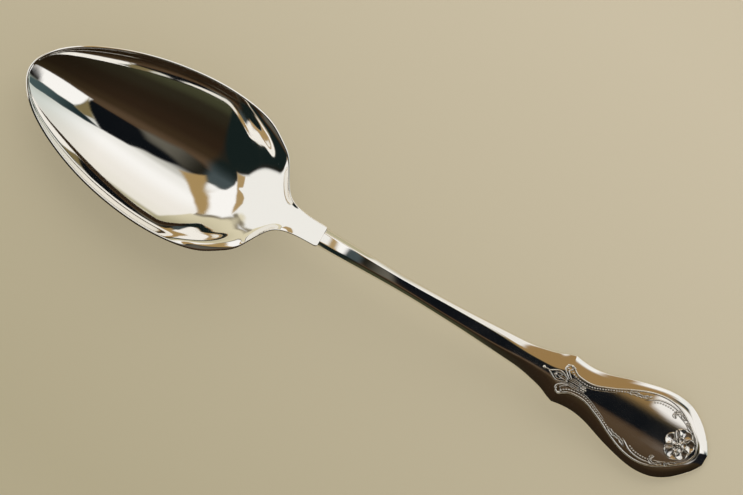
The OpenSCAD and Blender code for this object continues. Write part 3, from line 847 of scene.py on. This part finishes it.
# What the silver mirrors: plain cards of light and shade round the spoon, unseen by the camera and the floor.
# Each corner is a direction from the spoon in degrees from straight up, toward +X and toward +Y. The cards
# fade out over soft degrees at their rims, and a nearer card hides a farther one. far is in metres, and
# fadeTo is the colour at the second end of fadeLine.
cards = {
    "greyPatch": {
        "colour": "#66635A", "far": 8.0, "soft": 5.0, "fadeTo": "#24221B", "fadeLine": [(2, 0), (-13, 1)],
        "corners": [
            (-14, 7), (-7, 10.5), (0, 5), (3.5, -2), (-4, -6), (-13, -3)]},
    "tanBlock": {"colour": "#7E7250", "far": 8.5, "corners": [
        (20.5, 19), (26, 22.5), (33, 20), (29, 8), (27.5, -5), (26.5, 3), (24, 11)]},
    "lampPanel": {"colour": "#FFFFFF", "far": 9.0, "corners": [
        (26, -5), (30, 12), (34, 18), (48, 18), (61, 15), (63, -11), (45, -9)]},
    "overheadShade": {"colour": "#0E1115", "far": 9.5, "corners": [
        (-6.5, 10.3), (5, 22.4), (17, 26), (21.5, 17), (25.5, 9), (28, 2), (28, -3), (8.6, -1.7),
        (1.7, -0.9)]},
    "tanStripInner": {"colour": "#AA8F60", "far": 10.0, "corners": [
        (-6.5, 15.5), (-15, 6.6), (-17.5, 12), (-19.2, 22), (-26, 34.7), (-35, 48), (-41, 58), (-35.3, 56.5),
        (-21, 41.5), (-13.6, 29.6)]},
    "tanStripOuter": {"colour": "#AE9468", "far": 10.2, "corners": [
        (-57, 51.5), (-48.5, 35), (-37, 20), (-28, 5), (-25.3, -12), (-25, -20), (-39, -30), (-37, -12),
        (-30.5, -5), (-31, 4), (-43, 12), (-53, 22), (-59, 34.5), (-58.5, 46)]},
    "tealBand": {
        "colour": "#46585A", "far": 10.5, "fadeTo": "#1C292C", "fadeLine": [(66, 26), (22, 27)],
        "corners": [
            (17, 26), (24, 29), (40, 31.5), (58, 31.5), (70, 37), (66, 22), (61, 15.5), (48, 18.5),
            (34, 18.5), (26, 22)]},
    "whiteOpening": {"colour": "#FFFFFF", "far": 11.0, "corners": [
        (-41, 58), (-35, 48), (-26, 34.7), (-19.2, 22), (-18, 13), (-20.8, 12.5), (-23.6, -9.5),
        (-25.3, -12), (-28, 5), (-37, 20), (-48.5, 35), (-58.6, 53), (-52, 58)]},
    "lightStreak": {"colour": "#8C8468", "far": 11.3, "soft": 3.0, "corners": [
        (-40, -76), (-22, -83), (-4, -88), (-4, -86.5), (-22, -80.5), (-40, -72)]},
    "tealShade": {
        "colour": "#465154", "far": 11.6, "soft": 6.0, "fadeTo": "#16201F",
        "fadeLine": [(-16, 2), (-18, -16)],
        "corners": [
            (-20.8, 14), (-15, 12), (-14, -8), (-18, -20), (-17, -50), (-16, -85), (-35, -80), (-61, -66),
            (-58, -54), (-46, -38.5), (-26, -21)]},
    "tableEdge": {"colour": "#857D6C", "far": 12.0, "corners": [
        (-34, 55.5), (-43, 57), (-52, 55.5), (-58, 51.3), (-60.5, 48.5), (-62, 50.5), (-58, 55.5),
        (-52, 59.5), (-43, 61), (-34, 58.5)]},
    "beigeTable": {
        "colour": "#DCD4B8", "far": 12.5, "soft": 3.0, "fadeTo": "#A8A284",
        "fadeLine": [(-30, 56), (-30, 86)],
        "corners": [
            (-30, 58), (-20, 64), (-12, 70), (-4, 80), (2, 90), (-35, 84), (-62, 64), (-84, 42), (-64, 46),
            (-58, 52), (-52, 57), (-43, 58.5)]},
    "whiteWall": {"colour": "#F4F4F2", "far": 13.5, "corners": [
        (-60, 52), (-48, 34), (-36, 18), (-27, 4), (-25, -12), (-25, -20), (-46, -38.5), (-60, -56),
        (-66, -60), (-85, -20), (-88, 0), (-85, 40), (-64, 50)]},
    # four small cards close to the handle's end, where the bowl doesn't mirror them: each is drawn as
    # it is seen from one place, and two of them lie in a plane that faces another way
    "tanSide": {
        "colour": "#9A7C50", "soft": 7.0, "from": (0.1, 0, 0.005), "plane": (0.149, 0.105, 0.163),
        "faces": (0.789, 0, -0.614),
        "corners": [
            (-22, 14), (24, 8), (23, 36), (9, 40), (5, 53), (0, 57), (-22, 57)]},
    "endLight": {
        "colour": "#F4F2F0", "soft": 4.0, "from": (0.112, 0.0055, 0.0045), "plane": (0.171, 0.03, 0.13),
        "faces": (0.789, 0, -0.614),
        "corners": [
            (13, 9), (20, 6.5), (31, 6.5), (31, 19), (12, 19)]},
    "endWhite": {"colour": "#F4F3F1", "far": 0.09, "soft": 5.0, "from": (0.112, 0.0055, 0.0045), "corners": [
        (27, 5), (45, 10), (76, 27), (72, 60), (34, 62), (27, 44)]},
    "tipShade": {"colour": "#15161A", "far": 0.05, "soft": 4.0, "from": (0.118, 0, 0.003), "corners": [
        (25.5, 2), (45, 14), (68, 28), (80, 10), (80, -15), (60, -22), (25.5, -10)]},
}
cardDefaults = {
    "gap": 1.0,  # degrees between points
    "soft": 2.0,
    "leastToward": 0.06,  # a direction that faces a card's plane less than this runs beside it
}


# How far places lie inside a card's outline, in degrees, and less than nothing outside it
def insideDistance(a, b, corners):
    nearest = np.full(a.shape, 1000.0)
    inside = np.zeros(a.shape, bool)
    for (startA, startB), (endA, endB) in zip(corners, corners[1:] + corners[:1]):
        runA, runB = endA - startA, endB - startB
        share = np.clip(((a - startA) * runA + (b - startB) * runB) / (runA ** 2 + runB ** 2), 0, 1)
        nearest = np.minimum(nearest, np.hypot(a - startA - share * runA, b - startB - share * runB))
        if runB:
            crosses = ((startB > b) != (endB > b)) & (a < startA + runA * (b - startB) / runB)
            inside = inside ^ crosses
    return np.where(inside, nearest, -nearest)


# One number for each point, which a material can read
def addValues(mesh, name, values):
    mesh.attributes.new(name, "FLOAT", "POINT").data.foreach_set("value", np.ravel(values).astype(np.float32))


def buildCard(name, look):
    corners = look["corners"]
    soft = look.get("soft", cardDefaults["soft"])
    gap = cardDefaults["gap"]
    low = np.min(corners, axis=0) - soft
    high = np.max(corners, axis=0) + soft + gap
    a, b = np.meshgrid(np.arange(low[0], high[0], gap), np.arange(low[1], high[1], gap), indexing="ij")
    cover = ease(0.5 + insideDistance(a, b, corners) / soft)
    tilt = np.radians(np.hypot(a, b))
    turn = np.arctan2(b, a)
    ways = np.stack([np.sin(tilt) * np.cos(turn), np.sin(tilt) * np.sin(turn), np.cos(tilt)], -1)
    eye = np.array(look.get("from", (0, 0, 0)), float)
    if "plane" in look:
        # what would lie beside the plane or behind it is left out
        faces = np.array(look["faces"])
        toward = ways @ faces
        least = -cardDefaults["leastToward"]
        far = faces @ (np.array(look["plane"]) - eye) / np.minimum(toward, least)
        cover = np.where(toward < least, cover, 0)
    else:
        far = look["far"] + 0 * a
    points = eye + ways * far[..., None]
    rows, columns = a.shape
    i, j = np.meshgrid(np.arange(rows - 1), np.arange(columns - 1), indexing="ij")
    first = (i * columns + j).ravel()
    quads = np.stack([first, first + 1, first + columns + 1, first + columns], -1)
    quads = quads[cover.ravel()[quads].max(1) > 0]
    mesh = bpy.data.meshes.new(name)
    mesh.from_pydata(points.reshape(-1, 3).tolist(), [], quads.tolist())
    addValues(mesh, "cover", cover)
    card = addObject(name, mesh)
    material, tree = newMaterial("card_" + name)
    glow = addNode(tree, "Emission")
    glow.inputs["Color"].default_value = linearColour(look["colour"])
    if "fadeTo" in look:
        (startA, startB), (endA, endB) = look["fadeLine"]
        runA, runB = endA - startA, endB - startB
        addValues(mesh, "fade", ease(((a - startA) * runA + (b - startB) * runB) / (runA ** 2 + runB ** 2)))
        fade = addNode(tree, "Attribute", {"attribute_name": "fade"})
        ramp = addNode(tree, "ValToRGB", Fac=fade.outputs["Fac"])
        ramp.color_ramp.elements[0].color = linearColour(look["colour"])
        ramp.color_ramp.elements[1].color = linearColour(look["fadeTo"])
        tree.links.new(ramp.outputs[0], glow.inputs["Color"])
    rim = addNode(tree, "Attribute", {"attribute_name": "cover"})
    # the side turned away lets light through
    back = addNode(tree, "NewGeometry").outputs["Backfacing"]
    shown = addNode(tree, "Math", {"operation": "SUBTRACT", "use_clamp": True}, i0=rim.outputs["Fac"],
                    i1=back)
    clear = addNode(tree, "BsdfTransparent")
    both = addNode(tree, "MixShader", i0=shown.outputs[0], i1=clear.outputs[0], i2=glow.outputs[0])
    addNode(tree, "OutputMaterial", Surface=both.outputs[0])
    mesh.materials.append(material)
    card.visible_camera = False
    card.visible_diffuse = False
    card.visible_shadow = False


for name, look in cards.items():
    buildCard(name, look)
print("cards placed")

# The room: white toward +Y, plain dark brown toward -Y. Only the silver sees it; the floor gets even light.
room = {
    "even": "#F4F1EA",
    "evenLight": 0.62,
    "seen": "#E9E4D8",
    "bands": [(0.0, "#4B4D39"), (0.01, "#40412E"), (0.05, "#2C281D"), (0.146, "#281F15"), (0.27, "#2E2217"),
              (0.37, "#3A2D1E"), (0.45, "#564534"), (0.485, "#4F3E2E"), (0.5, "#1B1A16"), (0.58, "#24211E"),
              (0.66, "#C9C9C4"), (0.71, "#F2F2F0"), (0.8, "#FFFFFF"), (0.93, "#F4F1EC"), (0.985, "#EFECE4"),
              (0.9925, "#A8A284"), (0.9965, "#D8D2BC"), (1.0, "#DAD4C0")],
    "coolSide": "#C6CFCA",  # the white turns cooler and greyer toward the tip
    "coolRange": (0.25, 0.9),
    "horizon": "#E6E0D0",  # a bright line low down toward -Y, where the far table shows
    "horizonHeight": (0.07, 0.02),
    "horizonSide": (-0.1, -0.4),
}
world = bpy.data.worlds.new("room")
bpy.context.scene.world = world
world.use_nodes = True
tree = world.node_tree
tree.nodes.clear()
direction = addNode(tree, "TexCoord").outputs["Generated"]
parts = addNode(tree, "SeparateXYZ", Vector=direction)
across = addNode(tree, "MapRange", Value=parts.outputs["Y"], i1=-1.0, i2=1.0)
ramp = addNode(tree, "ValToRGB", Fac=across.outputs[0])
ramp.color_ramp.interpolation = "EASE"
# the ramp starts with one element at 0 and one at 1
elements = ramp.color_ramp.elements
elements[0].color = linearColour(room["bands"][0][1])
elements[1].color = linearColour(room["bands"][-1][1])
for place, colour in room["bands"][1:-1]:
    elements.new(place).color = linearColour(colour)


# 0 to 1 over a range of one part of the direction
def shareOf(part, ends):
    return addNode(tree, "MapRange", Value=parts.outputs[part], i1=ends[0], i2=ends[1]).outputs[0]


cooled = mixColours(tree, "MULTIPLY", shareOf("X", room["coolRange"]), ramp.outputs[0], room["coolSide"])
line = addNode(tree, "Math", {"operation": "MULTIPLY"}, i0=shareOf("Z", room["horizonHeight"]),
               i1=shareOf("Y", room["horizonSide"]))
lined = mixColours(tree, "MIX", line.outputs[0], cooled, room["horizon"])
path = addNode(tree, "LightPath")
mirrored = addNode(tree, "Background", Color=lined, Strength=1.0)
evenLight = addNode(tree, "Background", Color=linearColour(room["even"]), Strength=room["evenLight"])
seenLight = addNode(tree, "Background", Color=linearColour(room["seen"]), Strength=1.0)
first = addNode(tree, "MixShader", i0=path.outputs["Is Glossy Ray"], i1=evenLight.outputs[0],
                i2=mirrored.outputs[0])
second = addNode(tree, "MixShader", i0=path.outputs["Is Camera Ray"], i1=first.outputs[0],
                 i2=seenLight.outputs[0])
addNode(tree, "OutputWorld", Surface=second.outputs[0])

# One soft lamp toward +Y casts the shadow
lamp = {"place": (-0.2, 0.86, 0.6), "size": 1.6, "power": 9.0, "colour": (1, 0.985, 0.96)}
lightData = bpy.data.lights.new("windowLight", "AREA")
lightData.shape = "DISK"
lightData.size = lamp["size"]
lightData.energy = lamp["power"]
lightData.color = lamp["colour"]
light = addObject("windowLight", lightData)
light.location = lamp["place"]
x, y, z = lamp["place"]
light.rotation_euler = (math.atan2(math.hypot(x, y), z), 0, math.atan2(y, x) + math.pi / 2)
light.visible_glossy = False

# Camera: straight above, the spoon's length turned down to the right
view = {"target": (-0.0015, 0.0049, 0.008), "far": 6.0, "turn": 30.3, "frameWidth": 0.2277, "sensor": 36}
cameraData = bpy.data.cameras.new("camera")
cameraData.sensor_width = view["sensor"]
cameraData.lens = view["sensor"] * view["far"] / view["frameWidth"]
cameraData.clip_end = 50
camera = addObject("camera", cameraData)
camera.location = (view["target"][0], view["target"][1], view["target"][2] + view["far"])
camera.rotation_euler = (0, 0, math.radians(view["turn"]))
bpy.context.scene.camera = camera
bpy.context.scene.view_settings.view_transform = "Standard"
print("stage, lamp and camera set")
